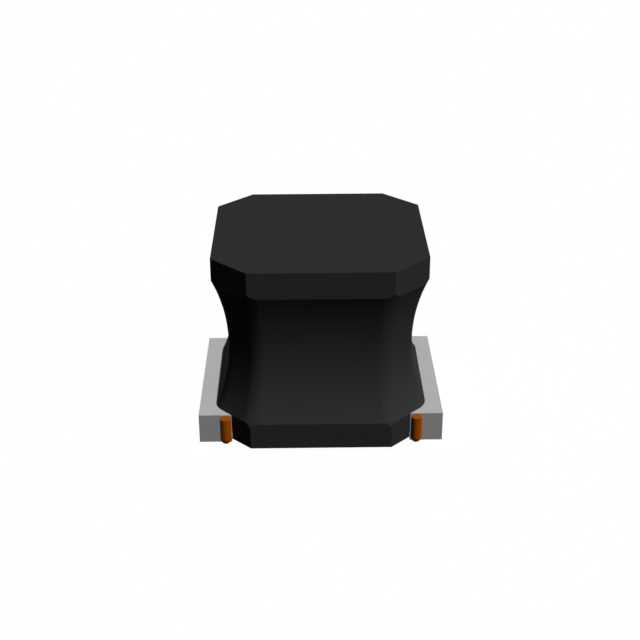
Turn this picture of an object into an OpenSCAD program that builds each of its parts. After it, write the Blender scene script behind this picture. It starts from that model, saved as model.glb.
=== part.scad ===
// Shielded surface-mount inductor: a ferrite drum core with one two-layer winding, a moulded
// magnetic coat between its flanges, and two solid terminals bonded under its sides.
// Millimetres, +Z up. The origin is on the board surface, at the middle of the part.
// The two lead ends stand at the front, which is the -Y side.

/* [Drum core] */
// Width of both flanges across their flats, the same along X and Y
flange_w = 5.0; // [4.7:0.1:5.8]
// Leg of the 45 degree cut on each flange corner
corner_cut = 0.84; // [0.7:0.02:0.96]
// Thickness of each flange
flange_t = 0.65; // [0.6:0.01:0.9]
// Height of the core over both flanges
core_h = 4.52; // [3.6:0.02:5.5]
// Diameter of the post that carries the winding
post_d = 2.6; // [2.2:0.05:2.7]

/* [Winding] */
// Diameter of the enamelled wire
wire_d = 0.255; // [0.2:0.005:0.28]
// Gap between neighbouring turns of a layer
turn_gap = 0.005; // [0.004:0.001:0.02]
// Clearance of the winding on the post and between its layers
coil_clear = 0.02; // [0.015:0.005:0.04]
// Clearance between the winding and the bore of the coat
coat_clear = 0.03; // [0.025:0.005:0.05]
// Height of the first turn's centre above the lower flange
first_turn = 0.17; // [0.16:0.01:0.25]
// Arc over which the wire climbs from the inner to the outer layer, in degrees
climb_arc = 60; // [45:15:75]

/* [Leads] */
// Clearance around each lead in its channel and notch
lead_clear = 0.02; // [0.01:0.005:0.04]
// Centreline radius of the bends in each lead
lead_bend_r = 0.14; // [0.14:0.01:0.2]
// Depth of each lead's cut end below the top of its terminal
end_drop = 0.03; // [0:0.01:0.2]
// Height of the lead's lowest point above the board
lead_rise = 0.015; // [0.01:0.005:0.04]
// Cover over each lead where it leaves the coat
lead_cover = 0.022; // [0.01:0.002:0.06]
// Bare width of the terminal's front beside each lead
lead_land = 0.014; // [0:0.002:0.1]

/* [Coat] */
// Depth of the hollow waist around the coat at mid height
waist_depth = 0.335; // [0.2:0.005:0.42]
// Radius of the coat's upright corners where they meet the flanges
coat_corner_r = 0.7; // [0.6:0.05:0.8]

/* [Terminals] */
// Thickness of each terminal beside the flange
wall_t = 0.38; // [0.25:0.01:0.6]
// Length of each terminal along Y
terminal_l = 4.07; // [3.9:0.01:4.4]
// Thickness of the sole under the flange
sole_t = 0.065; // [0.06:0.005:0.2]
// Reach of the sole under the flange
sole_reach = 1.25; // [0.8:0.05:1.6]
// Length of the sole along Y
sole_l = 2.9; // [2.0:0.1:3.0]
// Thickness of the adhesive between flange and terminal
bond_t = 0.02; // [0.015:0.005:0.04]
// Distance from the edge of the adhesive to the edge of the sole
bond_edge = 0.06; // [0.02:0.01:0.2]

/* [Solder] */
// Width of the solder pocket under each terminal's front
pocket_w = 0.36; // [0.32:0.01:0.4]
// Solder over the wire inside the pocket
solder_cover = 0.04; // [0.03:0.01:0.08]
// Solder skin clearance from the wire's enamel
solder_gap = 0.004; // [0.002:0.001:0.01]

/* [Hidden] */

overrun = 0.5;                  // how far cutting shapes reach past what they cut
half_w = flange_w / 2;
cut_sum = flange_w - corner_cut; // |x| + |y| on the faces of the corner cuts
wire_r = wire_d / 2;

// Levels above the board
core_z = sole_t + bond_t;
floor_z = core_z + flange_t;
ceiling_z = core_z + core_h - flange_t;
top_z = core_z + core_h;

// Winding
wire_sides = 8;
steps_per_turn = 24;
pitch = wire_d + turn_gap;
post_r = post_d / 2;
inner_r = post_r + coil_clear + wire_r;
outer_r = inner_r + wire_d + coil_clear;
bore_r = outer_r + wire_r + coat_clear;
first_z = floor_z + first_turn;
inner_turns = floor((ceiling_z - coil_clear - wire_r - first_z) / pitch);
turn_z = first_z + inner_turns * pitch;

// Leads
lug_tip_x = cut_sum - terminal_l / 2;
lead_x = lug_tip_x + lead_land + wire_r;
channel_r = wire_r + lead_clear;
front_y = -(terminal_l / 2 + solder_gap + wire_r);
notch_y = -(cut_sum - lead_x - sqrt(2) * channel_r);
under_z = lead_rise + wire_r;
groove_z = floor_z - lead_cover - wire_r;
end_z = floor_z - end_drop;
notch_dist = norm([lead_x, notch_y]);
notch_angle = atan2(-notch_y, lead_x);

// The inner layer is met on the left, the outer layer is left on the right, both clockwise
start_angle = 180 + notch_angle - acos(inner_r / notch_dist);
finish_angle = acos(outer_r / notch_dist) - notch_angle;
part_turn = start_angle - finish_angle - climb_arc;
outer_arc = 360 * (inner_turns - 1) + part_turn;
last_z = turn_z - pitch * outer_arc / 360;
start_at = [inner_r * cos(start_angle), inner_r * sin(start_angle), first_z];
finish_at = [outer_r * cos(finish_angle), outer_r * sin(finish_angle), last_z];

// Coat
waist_half_h = (ceiling_z - floor_z) / 2;
waist_r = (waist_half_h * waist_half_h + waist_depth * waist_depth) / (2 * waist_depth);
corner_far = half_w - coat_corner_r;
corner_near = tenth_micron(cut_sum - sqrt(2) * coat_corner_r - corner_far);

// Terminals
seat_half = half_w + bond_t;
outer_x = seat_half + wall_t;
pocket_h = under_z + wire_r + solder_cover;

// Outline of a square with its corners cut, from its half width and the |x| + |y| of the cuts
function outline(half, diagonal) =
  let (rest = diagonal - half)
  [for (turn = [0:3], side = [-1, 1]) turned([half, side * rest], 90 * turn)];

// A length to the nearest 0.1 micrometre, so that neighbouring forms meet in the same place
function tenth_micron(length) = round(length * 10000) / 10000;

function turned(p, angle) =
  [p[0] * cos(angle) - p[1] * sin(angle), p[0] * sin(angle) + p[1] * cos(angle)];

function unit(v) = v / norm(v);

flange_outline = outline(half_w, cut_sum);

// Points of an arc that replaces the corner between two straight runs
function rounded(before, corner, after, radius, steps) =
  let (
    u = unit(before - corner),
    v = unit(after - corner),
    half = acos(u * v) / 2,
    sweep = 180 - 2 * half,
    middle = corner + unit(u + v) * radius / sin(half),
    spoke = corner + u * radius / tan(half) - middle
  )
  [for (i = [0:steps])
    middle + spoke * cos(sweep * i / steps) - u * radius * sin(sweep * i / steps)];

// Route of one lead from its cut end, under the terminal, up the notch and along its groove
function lead(side, joins) =
  let (
    cut = [side * lead_x, front_y, end_z],
    low_front = [side * lead_x, front_y, under_z],
    low_back = [side * lead_x, notch_y, under_z],
    high_back = [side * lead_x, notch_y, groove_z]
  )
  concat(
    [cut],
    rounded(cut, low_front, low_back, lead_bend_r, 5),
    rounded(low_front, low_back, high_back, lead_bend_r, 5),
    rounded(low_back, high_back, joins, lead_bend_r, 5)
  );

function on_coil(radius, angle, z) = [radius * cos(angle), radius * sin(angle), z];

function coil() =
  let (
    inner_steps = inner_turns * steps_per_turn,
    climb_steps = 4,
    outer_steps = ceil(outer_arc / 360 * steps_per_turn),
    climb_from = start_angle - 360 * inner_turns,
    climb_to = climb_from - climb_arc
  )
  concat(
    [for (i = [0:inner_steps - 1])
      on_coil(inner_r, start_angle - 360 * i / steps_per_turn, first_z + pitch * i / steps_per_turn)],
    [for (i = [0:climb_steps - 1])
      let (share = i / climb_steps)
      on_coil(inner_r + (outer_r - inner_r) * share, climb_from - climb_arc * share, turn_z)],
    [for (i = [0:outer_steps])
      let (share = i / outer_steps)
      on_coil(outer_r, climb_to - outer_arc * share, turn_z + (last_z - turn_z) * share)]
  );

function backwards(list) = [for (i = [len(list) - 1:-1:0]) list[i]];

wire_route = concat(lead(-1, start_at), coil(), backwards(lead(1, finish_at)));

// Direction of the route at each of its points
function headings(route) =
  [for (i = [0:len(route) - 1])
    unit(route[min(i + 1, len(route) - 1)] - route[max(i - 1, 0)])];

// A side direction carried along the route without twist
function carried(side, heading) = unit(side - heading * (side * heading));

// A closed tube of one radius along a route
module tube(route, radius, sides) {
  heads = headings(route);
  last = len(route) - 1;
  frames = [for (i = 0, s = carried([1, 0, 0], heads[0]); i <= last;
    i = i + 1, s = i <= last ? carried(s, heads[i]) : s) s];
  points = [for (i = [0:last], k = [0:sides - 1])
    let (a = 360 * (k + 0.5) / sides)
    route[i] + radius * (frames[i] * cos(a) + cross(heads[i], frames[i]) * sin(a))];
  walls = [for (i = [0:last - 1], k = [0:sides - 1])
    let (a = i * sides + k, b = i * sides + (k + 1) % sides)
    [a, a + sides, b + sides, b]];
  first_cap = [for (k = [0:sides - 1]) k];
  last_cap = [for (k = [sides - 1:-1:0]) last * sides + k];
  polyhedron(points = points, faces = concat([first_cap], walls, [last_cap]));
}

module prism(points, low, high) {
  translate([0, 0, low]) linear_extrude(high - low) polygon(points);
}

// Half section of the waist, out from an upright axis at the centre of a corner's rounding
module waist_section() {
  difference() {
    square([coat_corner_r, 2 * waist_half_h]);
    translate([coat_corner_r - waist_depth + waist_r, waist_half_h])
      circle(r = waist_r, $fn = 180);
  }
}

// The coat's outer form: a middle prism, and a rounded corner and a slab at each of its corners
module waisted_body() {
  corners = outline(corner_far, corner_far + corner_near);
  prism(corners, floor_z, ceiling_z);
  for (side = [0:7]) {
    run = side % 2 == 0 ? sqrt(2) * (corner_far - corner_near) : 2 * corner_near;
    translate([corners[side][0], corners[side][1], floor_z])
      rotate([0, 0, 45 * (side - 1)]) {
        rotate_extrude(angle = 45, $fn = 96) waist_section();
        rotate([90, 0, 0]) linear_extrude(run) waist_section();
      }
  }
}

// Turns what is drawn along +X onto the straight run of a lead
module along_run(side, joins) {
  from = [side * lead_x, notch_y, groove_z];
  run = joins - from;
  translate(from)
    rotate([0, 0, atan2(run[1], run[0])])
    rotate([0, -atan2(run[2], norm([run[0], run[1]])), 0])
    rotate([90, 0, 90])
    linear_extrude(norm(run))
    children();
}

// Channel in the lower flange, round at its bottom and open above
module lead_groove(side, joins) {
  along_run(side, joins) {
    circle(r = channel_r, $fn = 48);
    translate([-channel_r, 0]) square([2 * channel_r, flange_t]);
  }
}

// Upright notch in the corner cut, where the lead passes down to the board side
module lead_notch(side) {
  translate([side * lead_x, notch_y, core_z - overrun])
    linear_extrude(flange_t + 2 * overrun) {
      circle(r = channel_r, $fn = 48);
      translate([-channel_r, -corner_cut]) square([2 * channel_r, corner_cut]);
    }
}

module drum_core() {
  color("#2b2b2c") {
    difference() {
      prism(flange_outline, core_z, floor_z);
      lead_notch(-1);
      lead_notch(1);
      lead_groove(-1, start_at);
      lead_groove(1, finish_at);
    }
    prism(flange_outline, ceiling_z, top_z);
    translate([0, 0, floor_z - flange_t / 2])
      cylinder(h = ceiling_z - floor_z + flange_t, r = post_r, $fn = 96);
  }
}

module winding() {
  color("#9a4e0c") tube(wire_route, wire_r, wire_sides);
}

module magnetic_coat() {
  color("#242425")
    difference() {
      waisted_body();
      translate([0, 0, floor_z - overrun])
        cylinder(h = ceiling_z - floor_z + 2 * overrun, r = bore_r, $fn = 96);
      along_run(-1, start_at) circle(r = channel_r, $fn = 48);
      along_run(1, finish_at) circle(r = channel_r, $fn = 48);
    }
}

// Plan of a terminal beside the flange, with its front and back ends behind the corner cuts
module terminal_plan() {
  difference() {
    translate([half_w / 2, -terminal_l / 2]) square([outer_x - half_w / 2, terminal_l]);
    polygon(outline(seat_half, cut_sum));
  }
}

// Plan of the solder pocket, from the terminal's front back to the middle of the notch
module pocket_plan() {
  front = -terminal_l / 2 - overrun;
  translate([lead_x - pocket_w / 2, front]) square([pocket_w, notch_y - front]);
}

module terminal() {
  difference() {
    union() {
      linear_extrude(floor_z) terminal_plan();
      translate([half_w - sole_reach, -sole_l / 2, 0])
        cube([sole_reach + bond_t + wall_t / 2, sole_l, sole_t]);
    }
    translate([0, 0, -overrun]) linear_extrude(pocket_h + overrun) pocket_plan();
  }
}

module terminal_right() {
  color("#b4b4b4") terminal();
}

module terminal_left() {
  color("#b4b4b4") mirror([1, 0, 0]) terminal();
}

// Film under the core and up the side of its lower flange
module adhesive() {
  inner_x = half_w - sole_reach + bond_edge;
  high = floor_z - bond_edge;
  rotate([90, 0, 0])
    linear_extrude(sole_l - 2 * bond_edge, center = true)
    polygon([
      [inner_x, sole_t], [seat_half, sole_t], [seat_half, high],
      [half_w, high], [half_w, core_z], [inner_x, core_z],
    ]);
}

module adhesive_right() {
  color("#4a4238") adhesive();
}

module adhesive_left() {
  color("#4a4238") mirror([1, 0, 0]) adhesive();
}

// Solder that fills the pocket around and over one lead
module solder(side) {
  clear_r = (wire_r + solder_gap) / cos(180 / wire_sides);
  difference() {
    translate([0, 0, under_z - wire_r / 2])
      linear_extrude(pocket_h - under_z + wire_r / 2)
      mirror([side < 0 ? 1 : 0, 0])
      intersection() {
        terminal_plan();
        pocket_plan();
      }
    tube(lead(side, side < 0 ? start_at : finish_at), clear_r, wire_sides);
  }
}

module solder_left() {
  color("#c6c8ca") solder(-1);
}

module solder_right() {
  color("#c6c8ca") solder(1);
}

drum_core();
winding();
magnetic_coat();
terminal_left();
terminal_right();
adhesive_left();
adhesive_right();
solder_left();
solder_right();
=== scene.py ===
import math

import bmesh
import bpy
from bpy.props import FloatProperty, FloatVectorProperty, PointerProperty
from bpy.types import Operator, Panel, PropertyGroup
from mathutils import Matrix, Quaternion, Vector


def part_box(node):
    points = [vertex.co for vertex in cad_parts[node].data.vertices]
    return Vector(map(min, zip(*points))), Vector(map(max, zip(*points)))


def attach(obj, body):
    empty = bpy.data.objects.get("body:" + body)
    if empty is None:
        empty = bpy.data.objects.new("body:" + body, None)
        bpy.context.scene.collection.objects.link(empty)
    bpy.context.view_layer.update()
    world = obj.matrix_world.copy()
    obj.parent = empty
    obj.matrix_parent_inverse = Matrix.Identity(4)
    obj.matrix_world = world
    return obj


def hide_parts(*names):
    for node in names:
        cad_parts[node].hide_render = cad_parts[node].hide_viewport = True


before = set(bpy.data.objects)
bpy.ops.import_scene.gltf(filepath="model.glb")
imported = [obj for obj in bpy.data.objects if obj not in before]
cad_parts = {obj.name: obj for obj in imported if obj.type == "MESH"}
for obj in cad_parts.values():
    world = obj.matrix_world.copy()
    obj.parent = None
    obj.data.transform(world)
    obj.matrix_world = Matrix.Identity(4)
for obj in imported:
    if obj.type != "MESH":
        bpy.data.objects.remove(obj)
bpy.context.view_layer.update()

bl_info = {
    "name": "Shielded Inductor",
    "version": (1, 0, 0),
    "blender": (4, 5, 0),
    "location": "View3D > Sidebar > Inductor",
    "description": "Builds a surface-mount inductor: drum core, coat, winding and two terminals",
    "category": "Object",
}

BODY = "root"
MM = 0.001
SIDES = {"left": -1, "right": 1}

HALF_CORNER = math.radians(22.5)  # half the turn at each corner of the plan
CORNER_ANGLE = math.radians(17)  # edges that bend more than this are rounded
SHARP_ANGLE = math.radians(35)  # edges that bend more than this are shaded as creases
END_ANGLE = math.radians(69)  # only the rims of the wire's cut ends bend more than this
OVERRUN = 0.1  # how far cutters and joined forms pass a face, in millimetres
NEAR = 1e-5  # how close two places count as one, in millimetres

WHITE_PAINT = 0.8  # how much light the floor's white paint throws back
PAINTED_SIDE_SHADE = 0.73  # painted shade: brightness of metal faces that don't point up, beside the flat tops
PAINTED_FOOT_LIGHT = 1.2  # painted light: brightness of the coat's lower half beside its middle, where it tilts up towards the light


# Sizes and colours ----------------------------------------------------------------------------


def length(name, description, millimetres):
    """A size property, given in millimetres and kept in metres."""
    return FloatProperty(
        name=name,
        description=description,
        default=millimetres * MM,
        min=0.0,
        precision=6,
        subtype="DISTANCE",
        unit="LENGTH",
    )


def angle(name, description, degrees):
    """An angle property, given in degrees and kept in radians."""
    return FloatProperty(
        name=name,
        description=description,
        default=math.radians(degrees),
        subtype="ANGLE",
        unit="ROTATION",
    )


def share(name, description, value, highest=1.0):
    """A plain number from 0 up to a highest value."""
    return FloatProperty(name=name, description=description, default=value, min=0.0, max=highest)


def colour(name, description, rgb):
    """An opaque colour property."""
    return FloatVectorProperty(
        name=name,
        description=description,
        default=(*rgb, 1.0),
        size=4,
        min=0.0,
        max=1.0,
        subtype="COLOR",
    )


class InductorSizes(PropertyGroup):
    corner_cut: length("Corner cut", "Leg of the 45 degree cut on each flange corner", 0.84)
    edge_r: length("Edge radius", "Rounding of the core's outer edges", 0.01)
    post_d: length("Post", "Diameter of the post that carries the winding", 2.6)
    waist_depth: length("Waist", "Depth of the hollow waist at mid height", 0.335)
    rim_corner_r: length("Rim corner", "Rounding of the coat's corners at the flanges", 0.58)
    neck_corner_r: length("Neck corner", "Rounding of the coat's corners at mid height", 0.45)
    wire_d: length("Wire", "Diameter of the enamelled wire", 0.255)
    turn_gap: length("Turn gap", "Gap between neighbouring turns of a layer", 0.005)
    coil_clear: length("Coil clearance", "Clearance on the post and between the layers", 0.02)
    coat_clear: length("Coat clearance", "Clearance between the winding and the coat", 0.03)
    first_turn: length("First turn", "Height of the first turn's centre above the flange", 0.17)
    climb_arc: angle("Climb", "Arc over which the wire climbs to the outer layer", 60.0)
    lead_clear: length("Lead clearance", "Clearance around each lead in its channel", 0.02)
    lead_bend_r: length("Lead bend", "Centreline radius of the bends in each lead", 0.14)
    lead_heel_r: length("Lead heel", "Centreline radius of the tight bend under the cut end", 0.09)
    lead_rise: length("Lead rise", "Height of the lead's lowest point above the board", 0.001)
    lead_cover: length("Lead cover", "Cover over each lead where it leaves the coat", 0.022)
    lead_room: length("Lead room", "Distance outside each lead where terminal edges stay square", 0.2)
    lead_land: length("Lead land", "Bare width of the terminal beside each lead", 0.01)
    end_drop: length("End drop", "Depth of the lead's cut end below its terminal's top", 0.01)
    wire_edge_r: length("Wire edge", "Rounding of the rims of the wire's cut ends", 0.012)
    solder_gap: length("Solder gap", "Clearance of the lead from solder and terminal", 0.004)
    bond_t: length("Bond", "Thickness of the adhesive beside the flange", 0.02)
    sole_t: length("Sole", "Thickness of the terminal's sole", 0.065)
    sole_l: length("Sole length", "Length of the sole along the terminal", 2.9)
    terminal_edge_r: length("Terminal edge", "Rounding of the terminal's outer edges", 0.008)
    pocket_w: length("Pocket", "Width of the solder pocket", 0.36)
    solder_cover: length("Solder cover", "Solder over the wire inside the pocket", 0.04)


class InductorColours(PropertyGroup):
    ferrite: colour("Ferrite", "Sintered ferrite", (0.0307, 0.0307, 0.0308))
    resin: colour("Resin", "Magnetic resin coat", (0.0307, 0.0307, 0.0309))
    tin: colour("Tin", "Matt tin plating", (0.475, 0.475, 0.475))
    enamel: colour("Enamel", "Copper seen through clear enamel", (0.31, 0.070, 0.0022))
    copper: colour("Copper", "Bare copper at the cut ends", (0.335, 0.080, 0.0045))
    solder: colour("Solder", "Satin solder", (0.44, 0.44, 0.44))
    adhesive: colour("Adhesive", "Cured dark epoxy", (0.05, 0.042, 0.03))


class StageSettings(PropertyGroup):
    azimuth: angle("Azimuth", "Camera's turn round the part, 0 at the front", -0.774)
    elevation: angle("Elevation", "Camera's height above the level", 25.973)
    roll: angle("Roll", "Camera's turn about its own axis", -0.199)
    distance: length("Distance", "From the camera to the point it looks at", 31.135)
    aim_side: length("Aim side", "Offset of the point the camera looks at", 0.0129)
    aim_height: length("Aim height", "Height of the point the camera looks at", 2.2271)
    lens: FloatProperty(
        name="Lens",
        description="Focal length in millimetres on a 36 mm sensor",
        default=71.076,
        subtype="DISTANCE_CAMERA",
    )
    key_from: FloatVectorProperty(
        name="Key light",
        description="Direction that the key light comes from",
        default=(0.49, -0.39, 0.824),
        size=3,
        subtype="DIRECTION",
    )
    key_strength: share("Key strength", "Brightness of a white face square to it", 1.035, 4.0)
    key_spread: angle("Key spread", "Width of the key light as the part sees it", 32.0)
    overhead_strength: share("Overhead", "Brightness the overhead light gives a level face", 0.06, 1.0)
    overhead_spread: angle("Overhead spread", "Width of the overhead light", 70.0)
    ambient: share("Ambient", "Brightness of the surroundings where they only light", 0.006, 1.0)
    floor_paint: share("Floor paint", "How much of the floor's white is paint that takes shadow", 0.5)
    floor_bounce: share("Floor bounce", "Share of light the floor throws back onto the part", 0.02)
    floor_reach: length("Floor", "Half the width of the floor", 400.0)


# The part in millimetres ----------------------------------------------------------------------


def reach(node):
    """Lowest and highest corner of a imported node, in millimetres."""
    low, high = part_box(node)
    return Vector(low) / MM, Vector(high) / MM


class Plan:
    """Levels, radii and places in millimetres, worked out from the frame and the size settings."""

    def __init__(self, sizes):
        core_low, core_high = reach("drum_core")
        coat_low, coat_high = reach("magnetic_coat")
        terminal_low, terminal_high = reach("terminal_right")
        for name in sizes.__annotations__:
            value = getattr(sizes, name)
            setattr(self, name, value if name == "climb_arc" else value / MM)
        self.half_w = core_high.x
        self.core_z, self.top_z = core_low.z, core_high.z
        self.floor_z, self.ceiling_z = coat_low.z, coat_high.z
        self.sole_x, self.outer_x = terminal_low.x, terminal_high.x
        self.terminal_half_l = terminal_high.y
        self.cut_sum = 2 * self.half_w - self.corner_cut
        self.wire_r = self.wire_d / 2
        self.channel_r = self.wire_r + self.lead_clear
        self.place_coil()
        self.place_leads()
        half_h = (self.ceiling_z - self.floor_z) / 2
        self.waist_mid_z = (self.ceiling_z + self.floor_z) / 2
        self.waist_r = (half_h**2 + self.waist_depth**2) / (2 * self.waist_depth)
        self.pocket_h = self.under_z + self.wire_r + self.solder_cover

    def place_coil(self):
        """Radii, heights and number of turns of the two layers."""
        self.pitch = self.wire_d + self.turn_gap
        self.inner_r = self.post_d / 2 + self.coil_clear + self.wire_r
        self.outer_r = self.inner_r + self.wire_d + self.coil_clear
        self.bore_r = self.outer_r + self.wire_r + self.coat_clear
        self.first_z = self.floor_z + self.first_turn
        room = self.ceiling_z - self.coil_clear - self.wire_r - self.first_z
        self.inner_turns = math.floor(room / self.pitch)
        self.turn_z = self.first_z + self.inner_turns * self.pitch

    def place_leads(self):
        """Places of the leads, and the points where they meet the coil."""
        self.lead_x = self.cut_sum - self.terminal_half_l + self.lead_land + self.wire_r
        self.front_y = -(self.terminal_half_l + self.solder_gap + self.wire_r)
        self.notch_y = -(self.cut_sum - self.lead_x - math.sqrt(2) * self.channel_r)
        self.under_z = self.lead_rise + self.wire_r
        self.groove_z = self.floor_z - self.lead_cover - self.wire_r
        self.end_z = self.floor_z - self.end_drop
        notch_dist = math.hypot(self.lead_x, self.notch_y)
        notch_angle = math.atan2(-self.notch_y, self.lead_x)
        self.start_angle = math.pi + notch_angle - math.acos(self.inner_r / notch_dist)
        self.finish_angle = math.acos(self.outer_r / notch_dist) - notch_angle
        part_turn = self.start_angle - self.finish_angle - self.climb_arc
        self.outer_arc = math.tau * (self.inner_turns - 1) + part_turn
        self.last_z = self.turn_z - self.pitch * self.outer_arc / math.tau
        self.joins = {
            SIDES["left"]: on_coil(self.inner_r, self.start_angle, self.first_z),
            SIDES["right"]: on_coil(self.outer_r, self.finish_angle, self.last_z),
        }

    def waist(self, z):
        """Depth of the waist's arc behind the flange's face at one height, negative past it."""
        rise = min(abs(z - self.waist_mid_z), self.waist_r)
        return self.waist_depth - self.waist_r + math.sqrt(self.waist_r**2 - rise**2)


def on_coil(radius, turn, z):
    return Vector((radius * math.cos(turn), radius * math.sin(turn), z))


def rounded(before, corner, after, radius, steps):
    """Points of the arc that replaces the corner between two straight runs."""
    u, v = (before - corner).normalized(), (after - corner).normalized()
    half = u.angle(v) / 2
    middle = corner + (u + v).normalized() * radius / math.sin(half)
    spoke = corner + u * radius / math.tan(half) - middle
    turns = [(math.pi - 2 * half) * i / steps for i in range(steps + 1)]
    return [middle + spoke * math.cos(t) - u * radius * math.sin(t) for t in turns]


def lead_route(plan, side, heel_r, steps=8):
    """Centreline of one lead, from its cut end, under the terminal and up to its groove."""
    cut = Vector((side * plan.lead_x, plan.front_y, plan.end_z))
    low_front = Vector((side * plan.lead_x, plan.front_y, plan.under_z))
    low_back = Vector((side * plan.lead_x, plan.notch_y, plan.under_z))
    high_back = Vector((side * plan.lead_x, plan.notch_y, plan.groove_z))
    return [
        cut,
        *rounded(cut, low_front, low_back, heel_r, steps),
        *rounded(low_front, low_back, high_back, plan.lead_bend_r, steps),
        *rounded(low_back, high_back, plan.joins[side], plan.lead_bend_r, steps),
    ]


def coil_route(plan, per_turn=48):
    """Centreline of the winding: up the inner layer, out at the top and down the outer one."""
    step = math.tau / per_turn
    inner = [
        on_coil(plan.inner_r, plan.start_angle - step * i, plan.first_z + plan.pitch * i / per_turn)
        for i in range(plan.inner_turns * per_turn)
    ]
    climb_steps = round(plan.climb_arc / step)
    climb_from = plan.start_angle - math.tau * plan.inner_turns
    spread = plan.outer_r - plan.inner_r
    climb = [
        on_coil(plan.inner_r + spread * i / climb_steps, climb_from - step * i, plan.turn_z)
        for i in range(climb_steps)
    ]
    outer_from = climb_from - plan.climb_arc
    outer_steps = math.ceil(plan.outer_arc / step)
    drop = plan.last_z - plan.turn_z
    outer = [
        on_coil(
            plan.outer_r,
            outer_from - plan.outer_arc * i / outer_steps,
            plan.turn_z + drop * i / outer_steps,
        )
        for i in range(outer_steps + 1)
    ]
    return inner + climb + outer


# Mesh tools -----------------------------------------------------------------------------------


def block(low, high):
    """A box between two corners."""
    bm = bmesh.new()
    bmesh.ops.create_cube(bm, size=1.0)
    low, high = Vector(low), Vector(high)
    bmesh.ops.scale(bm, vec=high - low, verts=bm.verts)
    bmesh.ops.translate(bm, vec=(low + high) / 2, verts=bm.verts)
    return bm


def rod(radius, low, high, segments=96):
    """An upright cylinder on the Z axis."""
    bm = bmesh.new()
    bmesh.ops.create_cone(
        bm,
        cap_ends=True,
        segments=segments,
        radius1=radius,
        radius2=radius,
        depth=high - low,
        matrix=Matrix.Translation((0, 0, (low + high) / 2)),
    )
    return bm


def round_edges(bm, edges, offset, segments):
    """Rounds edges, or cuts them flat where it is given a single segment."""
    bmesh.ops.bevel(
        bm,
        geom=list(edges),
        offset=offset,
        offset_type="OFFSET",
        segments=segments,
        profile=0.5,
        affect="EDGES",
        clamp_overlap=True,
        material=-1,
    )


def is_upright(edge):
    a, b = (v.co for v in edge.verts)
    return abs(a.x - b.x) + abs(a.y - b.y) < NEAR


def cut_square(half, corner, low, high, side_r=0.0):
    """A square prism with its upright edges cut at 45 degrees and, if asked, a radius where
    the cuts meet its two X sides."""
    bm = block((-half, -half, low), (half, half, high))
    round_edges(bm, [e for e in bm.edges if is_upright(e)], corner, segments=1)
    if side_r:
        at_side = [e for e in bm.edges if is_upright(e) and abs(e.verts[0].co.x) > half - NEAR]
        round_edges(bm, at_side, side_r * math.tan(HALF_CORNER), segments=5)
    return bm


def shown_mesh(obj):
    """A fresh mesh of an object with its modifiers applied."""
    graph = bpy.context.evaluated_depsgraph_get()
    return bpy.data.meshes.new_from_object(obj.evaluated_get(graph))


def scratch_object(name, data):
    obj = bpy.data.objects.new(name, data)
    bpy.context.scene.collection.objects.link(obj)
    return obj


def drop(obj):
    """Deletes a scratch object and its data."""
    data = obj.data
    bpy.data.objects.remove(obj)
    if isinstance(data, bpy.types.Curve):
        bpy.data.curves.remove(data)
    else:
        bpy.data.meshes.remove(data)


def as_object(name, bm):
    """Moves a bmesh into a new object."""
    mesh = bpy.data.meshes.new(name)
    bm.to_mesh(mesh)
    bm.free()
    return scratch_object(name, mesh)


def combined(base, tools):
    """The first form with others joined, cut away or kept in common, as (operation, form) pairs."""
    body = as_object("work", base)
    helpers = []
    for operation, form in tools:
        helper = as_object("work_tool", form)
        helpers.append(helper)
        change = body.modifiers.new(operation, "BOOLEAN")
        change.operation = operation
        change.solver = "EXACT"
        change.object = helper
    mesh = shown_mesh(body)
    for obj in [body, *helpers]:
        drop(obj)
    bm = bmesh.new()
    bm.from_mesh(mesh)
    bpy.data.meshes.remove(mesh)
    bmesh.ops.remove_doubles(bm, verts=bm.verts, dist=NEAR)
    return bm


def swept(route, radius, sides=16):
    """A closed round tube along a list of points."""
    curve = bpy.data.curves.new("work_route", "CURVE")
    curve.dimensions = "3D"
    curve.bevel_depth = radius
    curve.bevel_resolution = sides // 2 - 2
    curve.use_fill_caps = True
    curve.twist_mode = "MINIMUM"
    spline = curve.splines.new("POLY")
    spline.points.add(len(route) - 1)
    for point, place in zip(spline.points, route):
        point.co = (*place, 1.0)
    holder = scratch_object("work_route", curve)
    mesh = shown_mesh(holder)
    drop(holder)
    bm = bmesh.new()
    bm.from_mesh(mesh)
    bpy.data.meshes.remove(mesh)
    bmesh.ops.remove_doubles(bm, verts=bm.verts, dist=NEAR)
    return bm


def finish_piece(name, bm, material, node):
    """Turns a form drawn in millimetres into a piece of the part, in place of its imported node."""
    bmesh.ops.recalc_face_normals(bm, faces=bm.faces)
    for face in bm.faces:
        face.smooth = True
    drawn = as_object("work", bm)
    drawn.data.set_sharp_from_angle(angle=SHARP_ANGLE)
    drawn.modifiers.new("even_normals", "WEIGHTED_NORMAL").keep_sharp = True
    mesh = shown_mesh(drawn)
    drop(drawn)
    mesh.name = name
    mesh.transform(Matrix.Scale(MM, 4))
    mesh.materials.clear()
    mesh.materials.append(material)
    piece = scratch_object(name, mesh)
    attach(piece, BODY)
    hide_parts(node)
    return piece


# Materials ------------------------------------------------------------------------------------


def feed(tree, socket, value):
    """Sets a socket to a value, or links it where the value is another socket."""
    if isinstance(value, bpy.types.NodeSocket):
        tree.links.new(value, socket)
    else:
        socket.default_value = value


def add_node(tree, kind, settings=None, **inputs):
    """A node with its settings and its inputs, which go by name, or by number as _0, _1 ..."""
    made = tree.nodes.new(kind)
    for key, value in (settings or {}).items():
        setattr(made, key, value)
    for key, value in inputs.items():
        place = int(key[1:]) if key.startswith("_") else key.replace("_", " ")
        feed(tree, made.inputs[place], value)
    return made


def maths(tree, operation, a, b):
    return add_node(tree, "ShaderNodeMath", {"operation": operation}, _0=a, _1=b).outputs[0]


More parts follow.
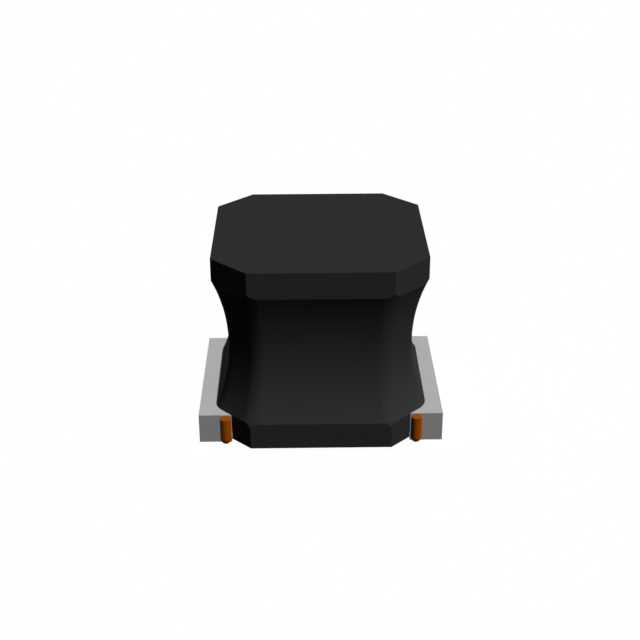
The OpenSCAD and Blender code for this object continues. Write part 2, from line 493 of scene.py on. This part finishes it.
def ramp(tree, value, low, high, to_low=0.0, to_high=1.0):
    """Maps a value between two limits, held at both ends."""
    limits = {"_1": low, "_2": high, "_3": to_low, "_4": to_high}
    return add_node(tree, "ShaderNodeMapRange", {"clamp": True}, _0=value, **limits).outputs[0]


def swing(tree, noise, low, high):
    """Stretches the middle of a noise value, where most of it lies, over a range."""
    return ramp(tree, noise, 0.3, 0.7, low, high)


def blend_colours(tree, mask, a, b):
    """Colour a where the mask is 0 and b where it is 1."""
    return add_node(tree, "ShaderNodeMix", {"data_type": "RGBA"}, _0=mask, _6=a, _7=b).outputs[2]


def cloudy(tree, size, detail, roughness):
    """Noise on the piece, with features of about one size in metres."""
    place = add_node(tree, "ShaderNodeTexCoord").outputs["Object"]
    scale = maths(tree, "DIVIDE", 1.0, size)
    settings = {"Vector": place, "Scale": scale, "Detail": detail, "Roughness": roughness}
    return add_node(tree, "ShaderNodeTexNoise", **settings).outputs[0]


def new_group(name, inputs, outputs):
    """An empty node group with named inputs, as (name, default), and named outputs."""
    group = bpy.data.node_groups.new(name, "ShaderNodeTree")
    for label, default in inputs:
        socket = group.interface.new_socket(label, in_out="INPUT", socket_type="NodeSocketFloat")
        socket.default_value = default
    for label in outputs:
        group.interface.new_socket(label, in_out="OUTPUT", socket_type="NodeSocketFloat")
    start = group.nodes.new("NodeGroupInput")
    end = group.nodes.new("NodeGroupOutput")
    return group, start.outputs, end.inputs


def grain_group():
    """Fine powder grain with slower cloudy variation, both from 0 to 1."""
    inputs = [("Grain Size", 3e-5), ("Cloud Size", 8e-4)]
    group, given, out = new_group("grain", inputs, ["Grain", "Cloud"])
    group.links.new(cloudy(group, given["Grain Size"], 3.0, 0.6), out["Grain"])
    group.links.new(cloudy(group, given["Cloud Size"], 4.0, 0.5), out["Cloud"])
    return group


def pit_group():
    """Scattered round pits or specks: 1 inside a spot, 0 between them."""
    inputs = [("Spacing", 1e-4), ("Share", 0.3), ("Spot Size", 0.2)]
    group, given, out = new_group("spots", inputs, ["Spots"])
    place = add_node(group, "ShaderNodeTexCoord").outputs["Object"]
    scale = maths(group, "DIVIDE", 1.0, given["Spacing"])
    cells = add_node(group, "ShaderNodeTexVoronoi", Vector=place, Scale=scale)
    picked = maths(group, "LESS_THAN", cells.outputs["Color"], given["Share"])
    near = ramp(group, cells.outputs["Distance"], 0.0, given["Spot Size"], 1.0, 0.0)
    group.links.new(maths(group, "MULTIPLY", picked, near), out["Spots"])
    return group


def wear_group():
    """Rubbed outer edges: 1 on a worn edge, fading to 0 on the faces, broken up by noise."""
    inputs = [("Width", 2e-5), ("Breakup Size", 1.5e-4)]
    group, given, out = new_group("edge_wear", inputs, ["Wear"])
    soft = add_node(group, "ShaderNodeBevel", {"samples": 6}, Radius=given["Width"]).outputs[0]
    facing = add_node(group, "ShaderNodeNewGeometry").outputs["Normal"]
    dot = {"operation": "DOT_PRODUCT"}
    turned = add_node(group, "ShaderNodeVectorMath", dot, _0=soft, _1=facing).outputs["Value"]
    edge = ramp(group, turned, 0.995, 0.9)
    broken = ramp(group, cloudy(group, given["Breakup Size"], 5.0, 0.65), 0.42, 0.62)
    group.links.new(maths(group, "MULTIPLY", edge, broken), out["Wear"])
    return group


def use_group(tree, group, **inputs):
    """The outputs of a node group placed in a material with its own values."""
    return add_node(tree, "ShaderNodeGroup", {"node_tree": group}, **inputs).outputs


def shared_groups():
    """The node groups that several materials use, made once."""
    makers = {"grain": grain_group, "spots": pit_group, "edge_wear": wear_group}
    for name, maker in makers.items():
        if name not in bpy.data.node_groups:
            maker()
    return [bpy.data.node_groups[name] for name in makers]


def new_material(name):
    """A material, its node tree and its shader."""
    material = bpy.data.materials.new(name)
    material.use_nodes = True
    shader = material.node_tree.nodes["Principled BSDF"]
    return material, material.node_tree, shader


def bumped(tree, shader, height, metres):
    """Fine relief: a height from 0 to 1 stands for this many metres."""
    bump = add_node(tree, "ShaderNodeBump", Strength=1.0, Distance=metres, Height=height)
    tree.links.new(bump.outputs[0], shader.inputs["Normal"])


def lighter(rgba, factor):
    """A fixed colour made brighter, or darker with a factor below 1."""
    return tuple(min(1.0, c * factor) for c in rgba[:3]) + (1.0,)


def set_values(shader, **values):
    """Sets the shader's own sockets, which are the same all over the piece."""
    for key, value in values.items():
        shader.inputs[key.replace("_", " ")].default_value = value


def faces_up(tree, least):
    """1 on faces whose normal has more than this much of its length upwards, else 0."""
    normal = add_node(tree, "ShaderNodeNewGeometry").outputs["True Normal"]
    split = add_node(tree, "ShaderNodeSeparateXYZ", Vector=normal)
    return maths(tree, "GREATER_THAN", split.outputs["Z"], least)


def place_along(tree, axis):
    """Place of the shaded point along one axis of the part, in metres."""
    place = add_node(tree, "ShaderNodeTexCoord").outputs["Object"]
    return add_node(tree, "ShaderNodeSeparateXYZ", Vector=place).outputs[axis]


def varied(tree, noise, rgba, low, high):
    """A colour that swings between two brightnesses of itself as a noise value goes up."""
    return blend_colours(tree, swing(tree, noise, 0.0, 1.0), lighter(rgba, low), lighter(rgba, high))


def scaled(tree, rgba, factor):
    """A colour times a factor, both of which may vary over the piece."""
    settings = {"operation": "SCALE"}
    return add_node(tree, "ShaderNodeVectorMath", settings, _0=rgba, Scale=factor).outputs[0]


def painted_side_shade(tree, rgba):
    """A colour with painted shade: darker on faces that don't point up."""
    return scaled(tree, rgba, ramp(tree, faces_up(tree, 0.5), 0.0, 1.0, PAINTED_SIDE_SHADE, 1.0))


def ferrite_material(colours):
    """Sintered ferrite: fine grain, rare pits and slightly rubbed edges."""
    grain, spots, wear = shared_groups()
    material, tree, shader = new_material("ferrite")
    base = tuple(colours.ferrite)
    powder = use_group(tree, grain, Grain_Size=2.6e-5, Cloud_Size=9e-4)
    pits = use_group(tree, spots, Spacing=1.3e-4, Share=0.16, Spot_Size=0.16)
    rubbed = use_group(tree, wear, Width=1.4e-5, Breakup_Size=1.2e-4)["Wear"]
    toned = varied(tree, powder["Grain"], base, 0.94, 1.06)
    clouds = ramp(tree, powder["Cloud"], 0.35, 0.65, 0.0, 0.4)
    clouded = blend_colours(tree, clouds, toned, lighter(base, 0.96))
    worn = blend_colours(tree, maths(tree, "MULTIPLY", rubbed, 0.25), clouded, lighter(base, 1.8))
    tree.links.new(worn, shader.inputs["Base Color"])
    rough = swing(tree, powder["Cloud"], 0.62, 0.74)
    polish = maths(tree, "MULTIPLY", rubbed, 0.15)
    tree.links.new(maths(tree, "SUBTRACT", rough, polish), shader.inputs["Roughness"])
    set_values(shader, Specular_IOR_Level=0.0005)
    height = maths(tree, "SUBTRACT", powder["Grain"], maths(tree, "MULTIPLY", pits["Spots"], 1.6))
    bumped(tree, shader, height, 1.0e-6)
    return material


def resin_material(colours, plan):
    """Cured magnetic resin: flow waves, fine powder specks, and painted light that makes the lower
    half paler.
    """
    grain, spots, _ = shared_groups()
    material, tree, shader = new_material("magnetic_resin")
    base = tuple(colours.resin)
    powder = use_group(tree, grain, Grain_Size=4.5e-5, Cloud_Size=1.4e-3)
    specks = use_group(tree, spots, Spacing=9e-5, Share=0.22, Spot_Size=0.14)["Spots"]
    toned = varied(tree, powder["Cloud"], base, 0.96, 1.04)
    specked = blend_colours(tree, maths(tree, "MULTIPLY", specks, 0.2), toned, lighter(base, 1.7))
    height = place_along(tree, "Z")
    # Painted light: the base colour brightens from mid height down to the lower flange, where the
    # surface tilts up towards the light.
    painted_foot_light = ramp(tree, height, plan.waist_mid_z * MM, plan.floor_z * MM, 1.0, PAINTED_FOOT_LIGHT)
    tree.links.new(scaled(tree, specked, painted_foot_light), shader.inputs["Base Color"])
    tree.links.new(swing(tree, powder["Cloud"], 0.5, 0.62), shader.inputs["Roughness"])
    set_values(shader, Specular_IOR_Level=0.0005)
    waves = maths(tree, "MULTIPLY", powder["Cloud"], 5.0)
    fine = maths(tree, "MULTIPLY", powder["Grain"], 0.5)
    bumped(tree, shader, maths(tree, "ADD", waves, fine), 1.0e-6)
    return material


def tin_material(colours):
    """Matt tin plating: fine crystal grain, burnished edges and painted shade on the sides that don't
    face up.
    """
    grain, _, wear = shared_groups()
    material, tree, shader = new_material("tin_plate")
    base = tuple(colours.tin)
    crystals = use_group(tree, grain, Grain_Size=2.2e-5, Cloud_Size=6e-4)
    rubbed = use_group(tree, wear, Width=1.2e-5, Breakup_Size=1.8e-4)["Wear"]
    toned = varied(tree, crystals["Cloud"], base, 0.975, 1.02)
    worn = blend_colours(tree, maths(tree, "MULTIPLY", rubbed, 0.3), toned, lighter(base, 1.2))
    # Painted shade: faces that don't point up get a darker base colour.
    tree.links.new(painted_side_shade(tree, worn), shader.inputs["Base Color"])
    rough = swing(tree, crystals["Grain"], 0.5, 0.62)
    polish = maths(tree, "MULTIPLY", rubbed, 0.18)
    tree.links.new(maths(tree, "SUBTRACT", rough, polish), shader.inputs["Roughness"])
    set_values(shader, Metallic=0.04, Specular_IOR_Level=0.01)
    bumped(tree, shader, crystals["Grain"], 0.8e-6)
    return material


def wire_material(colours, plan):
    """Copper under clear enamel, with bare copper on the two cut ends."""
    grain, _, _ = shared_groups()
    material, tree, shader = new_material("enamelled_copper")
    drawn = use_group(tree, grain, Grain_Size=5e-5, Cloud_Size=3e-4)
    in_front = maths(tree, "LESS_THAN", place_along(tree, "Y"), -plan.terminal_half_l * MM)
    cut_end = maths(tree, "MULTIPLY", faces_up(tree, 0.9), in_front)
    toned = varied(tree, drawn["Cloud"], tuple(colours.enamel), 0.94, 1.05)
    cut = blend_colours(tree, cut_end, toned, tuple(colours.copper))
    tree.links.new(cut, shader.inputs["Base Color"])
    tree.links.new(ramp(tree, cut_end, 0.0, 1.0, 0.42, 0.6), shader.inputs["Roughness"])
    tree.links.new(ramp(tree, cut_end, 0.0, 1.0, 0.01, 0.0), shader.inputs["Coat Weight"])
    set_values(shader, Metallic=0.03, Specular_IOR_Level=0.005, Coat_Roughness=0.25)
    bumped(tree, shader, drawn["Grain"], 0.6e-6)
    return material


def solder_material(colours):
    """Satin solder with soft frozen ripples, and painted shade on the sides that don't face up."""
    grain, _, _ = shared_groups()
    material, tree, shader = new_material("solder")
    ripples = use_group(tree, grain, Grain_Size=4e-5, Cloud_Size=2e-4)["Cloud"]
    toned = varied(tree, ripples, tuple(colours.solder), 0.95, 1.04)
    # Painted shade: faces that don't point up get a darker base colour.
    tree.links.new(painted_side_shade(tree, toned), shader.inputs["Base Color"])
    tree.links.new(swing(tree, ripples, 0.42, 0.55), shader.inputs["Roughness"])
    set_values(shader, Metallic=0.04, Specular_IOR_Level=0.01)
    bumped(tree, shader, ripples, 2e-6)
    return material


def adhesive_material(colours):
    """Cured dark epoxy with a few trapped bubbles."""
    grain, spots, _ = shared_groups()
    material, tree, shader = new_material("adhesive")
    flow = use_group(tree, grain, Grain_Size=3e-5, Cloud_Size=2.5e-4)
    bubbles = use_group(tree, spots, Spacing=1.2e-4, Share=0.2, Spot_Size=0.25)["Spots"]
    toned = varied(tree, flow["Cloud"], tuple(colours.adhesive), 0.85, 1.15)
    tree.links.new(toned, shader.inputs["Base Color"])
    tree.links.new(swing(tree, flow["Grain"], 0.35, 0.5), shader.inputs["Roughness"])
    bumped(tree, shader, maths(tree, "SUBTRACT", flow["Cloud"], bubbles), 3e-6)
    return material


# Forms of the pieces, in millimetres ----------------------------------------------------------


def on_bisector(corner):
    """Unit vector from the middle of the plan, along the bisector of one of its eight corners."""
    step = math.radians(45)
    turn = (math.floor(math.atan2(corner.y, corner.x) / step) + 0.5) * step
    return Vector((math.cos(turn), math.sin(turn)))


def waist_form(plan, low, high, levels, corner_steps=8):
    """The ground waist: a cut square with rounded corners, drawn in towards mid height."""
    straight_r = plan.rim_corner_r
    bm = cut_square(plan.half_w, plan.corner_cut, low, high)
    uprights = [e for e in bm.edges if is_upright(e)]
    round_edges(bm, uprights, straight_r * math.tan(HALF_CORNER), corner_steps)
    for i in range(1, levels):
        bmesh.ops.bisect_plane(
            bm,
            geom=[*bm.verts, *bm.edges, *bm.faces],
            dist=NEAR,
            plane_co=(0, 0, low + (high - low) * i / levels),
            plane_no=(0, 0, 1),
        )
    rest = plan.cut_sum - plan.half_w
    quarter = [(plan.half_w, -rest), (plan.half_w, rest)]
    corners = [Matrix.Rotation(math.pi / 2 * k, 2) @ Vector(p) for k in range(4) for p in quarter]
    stretch = 1 / math.cos(HALF_CORNER)
    # Each point keeps its place on its corner's arc, as the arc moves in and changes radius.
    for vert in bm.verts:
        flat = vert.co.xy
        corner = min(corners, key=lambda c: (c - flat).length)
        inward = -on_bisector(corner)
        depth = plan.waist(vert.co.z)
        sunk = max(0.0, depth) / plan.waist_depth
        radius = straight_r + (plan.neck_corner_r - straight_r) * sunk
        middle = corner + inward * straight_r * stretch
        moved = corner + inward * (depth + radius) * stretch
        vert.co.xy = moved + (flat - middle) * radius / straight_r
    return bm


def lead_run(plan, side, open_above=False):
    """A cutter along the straight run of one lead: round, or a groove that is open above."""
    start = Vector((side * plan.lead_x, plan.notch_y, plan.groove_z))
    run = plan.joins[side] - start
    radius = plan.channel_r
    bm = rod(radius, 0, run.length, segments=48)
    if open_above:
        depth = plan.floor_z - plan.groove_z + OVERRUN
        slot = block((-depth, -radius, 0), (0, radius, run.length))
        bm = combined(bm, [("UNION", slot)])
    level = math.atan2(run.y, run.x)
    fall = math.pi / 2 - math.atan2(run.z, run.xy.length)
    turn = Matrix.Rotation(level, 4, "Z") @ Matrix.Rotation(fall, 4, "Y")
    bmesh.ops.transform(bm, matrix=Matrix.Translation(start) @ turn, verts=bm.verts)
    return bm


def lead_notch(plan, side):
    """A cutter for the upright notch in a corner cut, round at its back."""
    radius, low, high = plan.channel_r, plan.core_z - OVERRUN, plan.floor_z + OVERRUN
    round_back = rod(radius, low, high, segments=48)
    mouth = block((-radius, -plan.corner_cut, low), (radius, 0, high))
    bm = combined(round_back, [("UNION", mouth)])
    bmesh.ops.translate(bm, vec=(side * plan.lead_x, plan.notch_y, 0), verts=bm.verts)
    return bm


def flange_form(plan, low, high, outer_z, side_r=0.0):
    """One flange with its upright edges and its outer rim broken by a fine radius."""
    bm = cut_square(plan.half_w, plan.corner_cut, low, high, side_r)
    rim = [e for e in bm.edges if all(abs(v.co.z - outer_z) < NEAR for v in e.verts)]
    uprights = [e for e in bm.edges if is_upright(e) and e.calc_face_angle() > CORNER_ANGLE]
    round_edges(bm, rim + uprights, plan.edge_r, segments=3)
    return bm


def drum_core_form(plan):
    """Two flanges on a post. The ground waist runs on into their corners, and the lower one
    has a notch and a groove for each lead."""
    lower = flange_form(plan, plan.core_z, plan.floor_z, plan.core_z, plan.rim_corner_r)
    upper = flange_form(plan, plan.ceiling_z, plan.top_z, plan.top_z)
    waist = waist_form(plan, plan.core_z - OVERRUN, plan.top_z + OVERRUN, levels=48)
    post = rod(plan.post_d / 2, plan.floor_z - OVERRUN, plan.ceiling_z + OVERRUN)
    solid = [("UNION", upper), ("INTERSECT", waist), ("UNION", post)]
    notches = [("DIFFERENCE", lead_notch(plan, side)) for side in SIDES.values()]
    grooves = [("DIFFERENCE", lead_run(plan, side, True)) for side in SIDES.values()]
    return combined(lower, solid + notches + grooves)


def magnetic_coat_form(plan):
    """The waist between the flanges, with room inside for the winding and its two leads."""
    body = waist_form(plan, plan.floor_z, plan.ceiling_z, levels=40)
    bore = rod(plan.bore_r, plan.floor_z - OVERRUN, plan.ceiling_z + OVERRUN)
    channels = [("DIFFERENCE", lead_run(plan, side)) for side in SIDES.values()]
    return combined(body, [("DIFFERENCE", bore)] + channels)


def terminal_form(plan, side):
    """A solid terminal: a bar behind the corner cuts, its sole, and its solder pocket."""
    half_l, half_sole, half_pocket = plan.terminal_half_l, plan.sole_l / 2, plan.pocket_w / 2
    seat = plan.half_w + plan.bond_t
    bar = block((plan.sole_x, -half_l, 0), (plan.outer_x, half_l, plan.floor_z))
    room_cut = 2 * seat - plan.cut_sum
    top = plan.floor_z + OVERRUN
    core_room = cut_square(seat, room_cut, -OVERRUN, top, plan.rim_corner_r)
    bm = combined(bar, [("DIFFERENCE", core_room)])
    corners = [e for e in bm.edges if e.is_manifold and e.calc_face_angle() > CORNER_ANGLE]
    square_to = plan.lead_x + plan.lead_room
    outer = [e for e in corners if e.is_convex and max(v.co.x for v in e.verts) >= square_to]
    round_edges(bm, outer, plan.terminal_edge_r, segments=3)
    sole = block((plan.sole_x, -half_sole, 0), (seat + OVERRUN, half_sole, plan.sole_t))
    foot = [e for e in sole.edges if all(v.co.x < seat for v in e.verts)]
    round_edges(sole, foot, plan.terminal_edge_r, segments=3)
    pocket_low = (plan.lead_x - half_pocket, -half_l - OVERRUN, -OVERRUN)
    pocket = block(pocket_low, (plan.lead_x + half_pocket, plan.notch_y, plan.pocket_h))
    bm = combined(bm, [("UNION", sole), ("DIFFERENCE", pocket)])
    return on_side(bm, side)


def on_side(bm, side):
    """Mirrors a form that is drawn on the right to the left."""
    if side < 0:
        bmesh.ops.scale(bm, vec=(-1, 1, 1), verts=bm.verts)
        bmesh.ops.reverse_faces(bm, faces=bm.faces)
    return bm


def adhesive_form(plan, side):
    """The cured film under the core and up the side of its lower flange."""
    low, high = reach("adhesive_right")
    flat = block(low, (high.x, high.y, plan.core_z))
    upright = block((plan.half_w, low.y, low.z), high)
    bm = combined(flat, [("UNION", upright)])
    return on_side(bm, side)


def solder_form(plan, side):
    """Solder in the pocket, drawn down around the lead."""
    low, high = reach("solder_right")
    seat = plan.half_w + plan.bond_t
    fill = block((low.x, low.y, 0), (high.x, plan.notch_y, high.z))
    core_room = cut_square(seat, 2 * seat - plan.cut_sum, plan.core_z, plan.floor_z)
    whole = lead_route(plan, side, plan.lead_bend_r)
    on_right = [Vector((abs(p.x), p.y, p.z)) for p in whole if p.z < plan.floor_z]
    lead = swept(on_right, plan.wire_r + plan.solder_gap, sides=32)
    bm = combined(fill, [("DIFFERENCE", core_room), ("DIFFERENCE", lead)])
    return on_side(bm, side)


def winding_form(plan):
    """The wire, from one cut end through both layers of the coil to the other."""
    start, finish = (lead_route(plan, side, plan.lead_heel_r) for side in SIDES.values())
    bm = swept([*start, *coil_route(plan), *reversed(finish)], plan.wire_r, sides=20)
    rims = [e for e in bm.edges if e.is_manifold and e.calc_face_angle() > END_ANGLE]
    round_edges(bm, rims, plan.wire_edge_r, segments=2)
    return bm


# Operators ------------------------------------------------------------------------------------


def plan_of(context):
    return Plan(context.scene.inductor_sizes)


class INDUCTOR_OT_drum_core(Operator):
    """Add the ferrite drum core: two flanges on a round post"""

    bl_idname = "inductor.drum_core"
    bl_label = "Drum Core"

    def execute(self, context):
        material = ferrite_material(context.scene.inductor_colours)
        form = drum_core_form(plan_of(context))
        finish_piece("ferrite_drum_core", form, material, "drum_core")
        return {"FINISHED"}


class INDUCTOR_OT_magnetic_coat(Operator):
    """Add the moulded coat of magnetic resin, ground to a waist between the flanges"""

    bl_idname = "inductor.magnetic_coat"
    bl_label = "Magnetic Coat"

    def execute(self, context):
        plan = plan_of(context)
        material = resin_material(context.scene.inductor_colours, plan)
        form = magnetic_coat_form(plan)
        finish_piece("resin_coat", form, material, "magnetic_coat")
        return {"FINISHED"}


class INDUCTOR_OT_winding(Operator):
    """Add the two-layer winding with its two leads, as one length of wire"""

    bl_idname = "inductor.winding"
    bl_label = "Winding"

    def execute(self, context):
        plan = plan_of(context)
        material = wire_material(context.scene.inductor_colours, plan)
        finish_piece("wire_winding", winding_form(plan), material, "winding")
        return {"FINISHED"}


class INDUCTOR_OT_terminals(Operator):
    """Add the two solid terminals with their soles"""

    bl_idname = "inductor.terminals"
    bl_label = "Terminals"

    def execute(self, context):
        plan = plan_of(context)
        material = tin_material(context.scene.inductor_colours)
        for name, side in SIDES.items():
            form = terminal_form(plan, side)
            finish_piece(f"tin_terminal_{name}", form, material, f"terminal_{name}")
        return {"FINISHED"}


class INDUCTOR_OT_joints(Operator):
    """Add the adhesive films under the core and the solder around the leads"""

    bl_idname = "inductor.joints"
    bl_label = "Adhesive and Solder"

    def execute(self, context):
        plan = plan_of(context)
        colours = context.scene.inductor_colours
        glue, metal = adhesive_material(colours), solder_material(colours)
        for name, side in SIDES.items():
            film, fill = adhesive_form(plan, side), solder_form(plan, side)
            finish_piece(f"adhesive_film_{name}", film, glue, f"adhesive_{name}")
            finish_piece(f"solder_fill_{name}", fill, metal, f"solder_{name}")
        return {"FINISHED"}


class INDUCTOR_OT_stage(Operator):
    """Add the camera, the lamp, the surroundings and the floor"""

    bl_idname = "inductor.stage"
    bl_label = "Stage"

    def execute(self, context):
        stage = context.scene.inductor_stage
        add_camera(context.scene, stage)
        add_lights(context.scene, stage)
        add_floor(stage)
        context.scene.view_settings.view_transform = "Standard"
        return {"FINISHED"}


class INDUCTOR_PT_panel(Panel):
    """Lists the pieces and their settings"""

    bl_label = "Shielded Inductor"
    bl_idname = "INDUCTOR_PT_panel"
    bl_space_type = "VIEW_3D"
    bl_region_type = "UI"
    bl_category = "Inductor"

    def draw(self, context):
        column = self.layout.column(align=True)
        for step in STEPS:
            column.operator(step.bl_idname)
        for settings in SETTINGS:
            group = getattr(context.scene, settings)
            column.separator()
            for name in type(group).__annotations__:
                column.prop(group, name)


STEPS = [
    INDUCTOR_OT_drum_core,
    INDUCTOR_OT_magnetic_coat,
    INDUCTOR_OT_winding,
    INDUCTOR_OT_terminals,
    INDUCTOR_OT_joints,
    INDUCTOR_OT_stage,
]
SETTINGS = {
    "inductor_sizes": InductorSizes,
    "inductor_colours": InductorColours,
    "inductor_stage": StageSettings,
}
CLASSES = [*SETTINGS.values(), *STEPS, INDUCTOR_PT_panel]


# Stage ----------------------------------------------------------------------------------------


def add_camera(scene, stage):
    """A camera that looks at a point on the part's axis from the set angles."""
    data = bpy.data.cameras.new("camera")
    data.sensor_width = 36.0
    data.lens = stage.lens
    data.clip_start, data.clip_end = 0.001, 5.0
    camera = bpy.data.objects.new("camera", data)
    scene.collection.objects.link(camera)
    level = math.cos(stage.elevation)
    back = Vector(
        (
            math.sin(stage.azimuth) * level,
            -math.cos(stage.azimuth) * level,
            math.sin(stage.elevation),
        )
    )
    camera.rotation_mode = "QUATERNION"
    camera.location = Vector((stage.aim_side, 0, stage.aim_height)) + back * stage.distance
    camera.rotation_quaternion = (-back).to_track_quat("-Z", "Y") @ Quaternion((0, 0, 1), stage.roll)
    scene.camera = camera


def add_sun(scene, name, direction, brightness, spread):
    """A distant lamp that gives a white face square to it the stated brightness."""
    data = bpy.data.lights.new(name, "SUN")
    data.energy = brightness * math.pi
    data.angle = spread
    lamp = bpy.data.objects.new(name, data)
    lamp.rotation_mode = "QUATERNION"
    lamp.rotation_quaternion = Vector(direction).to_track_quat("Z", "Y")
    scene.collection.objects.link(lamp)
    return data


def add_lights(scene, stage):
    """A broad light from the upper right that models the faces, a weak one from above that
    throws the shadow, and surroundings that are white only where they are seen."""
    key = add_sun(scene, "key_light", stage.key_from, stage.key_strength, stage.key_spread)
    key.use_shadow = False
    up = (0, 0, 1)
    add_sun(scene, "overhead_light", up, stage.overhead_strength, stage.overhead_spread)
    world = bpy.data.worlds.new("surroundings")
    world.use_nodes = True
    tree = world.node_tree
    strength = ramp(tree, seen_by_eye(tree), 0.0, 1.0, stage.ambient, 1.0)
    background = tree.nodes["Background"]
    background.inputs["Color"].default_value = (1, 1, 1, 1)
    tree.links.new(strength, background.inputs["Strength"])
    scene.world = world


def seen_by_eye(tree):
    """1 for rays from the camera, from a reflection or through glass, else 0."""
    path = add_node(tree, "ShaderNodeLightPath").outputs
    direct = maths(tree, "MAXIMUM", path["Is Camera Ray"], path["Is Glossy Ray"])
    return maths(tree, "MAXIMUM", direct, path["Is Transmission Ray"])


def grey(level):
    """A neutral colour."""
    return (level, level, level, 1.0)


def add_floor(stage):
    """A level floor that looks white, keeps a soft shadow and throws little light back."""
    bm = bmesh.new()
    bmesh.ops.create_grid(bm, x_segments=1, y_segments=1, size=stage.floor_reach)
    floor = as_object("floor", bm)
    material = bpy.data.materials.new("white_floor")
    material.use_nodes = True
    tree = material.node_tree
    tree.nodes.remove(tree.nodes["Principled BSDF"])
    level_key = stage.key_strength * Vector(stage.key_from).normalized().z
    lit = WHITE_PAINT * (level_key + stage.overhead_strength + stage.ambient)
    glow_share = 1 - stage.floor_paint
    glow_strength = (1 - stage.floor_paint * lit) / glow_share
    paint = add_node(tree, "ShaderNodeBsdfDiffuse", Color=grey(WHITE_PAINT)).outputs[0]
    matt = add_node(tree, "ShaderNodeBsdfDiffuse", Color=grey(stage.floor_bounce)).outputs[0]
    glow = add_node(tree, "ShaderNodeEmission", Color=grey(1), Strength=glow_strength).outputs[0]
    looks = add_node(tree, "ShaderNodeMixShader", _0=glow_share, _1=paint, _2=glow).outputs[0]
    both = add_node(tree, "ShaderNodeMixShader", _0=seen_by_eye(tree), _1=matt, _2=looks)
    tree.links.new(both.outputs[0], tree.nodes["Material Output"].inputs["Surface"])
    floor.data.materials.append(material)


# Main -----------------------------------------------------------------------------------------


def register():
    for made in CLASSES:
        bpy.utils.register_class(made)
    for name, group in SETTINGS.items():
        setattr(bpy.types.Scene, name, PointerProperty(type=group))


def unregister():
    for name in SETTINGS:
        delattr(bpy.types.Scene, name)
    for made in reversed(CLASSES):
        bpy.utils.unregister_class(made)


def main():
    """Builds every piece and the stage."""
    register()
    for step in STEPS:
        place, action = step.bl_idname.split(".")
        getattr(getattr(bpy.ops, place), action)()


if __name__ == "__main__":
    main()
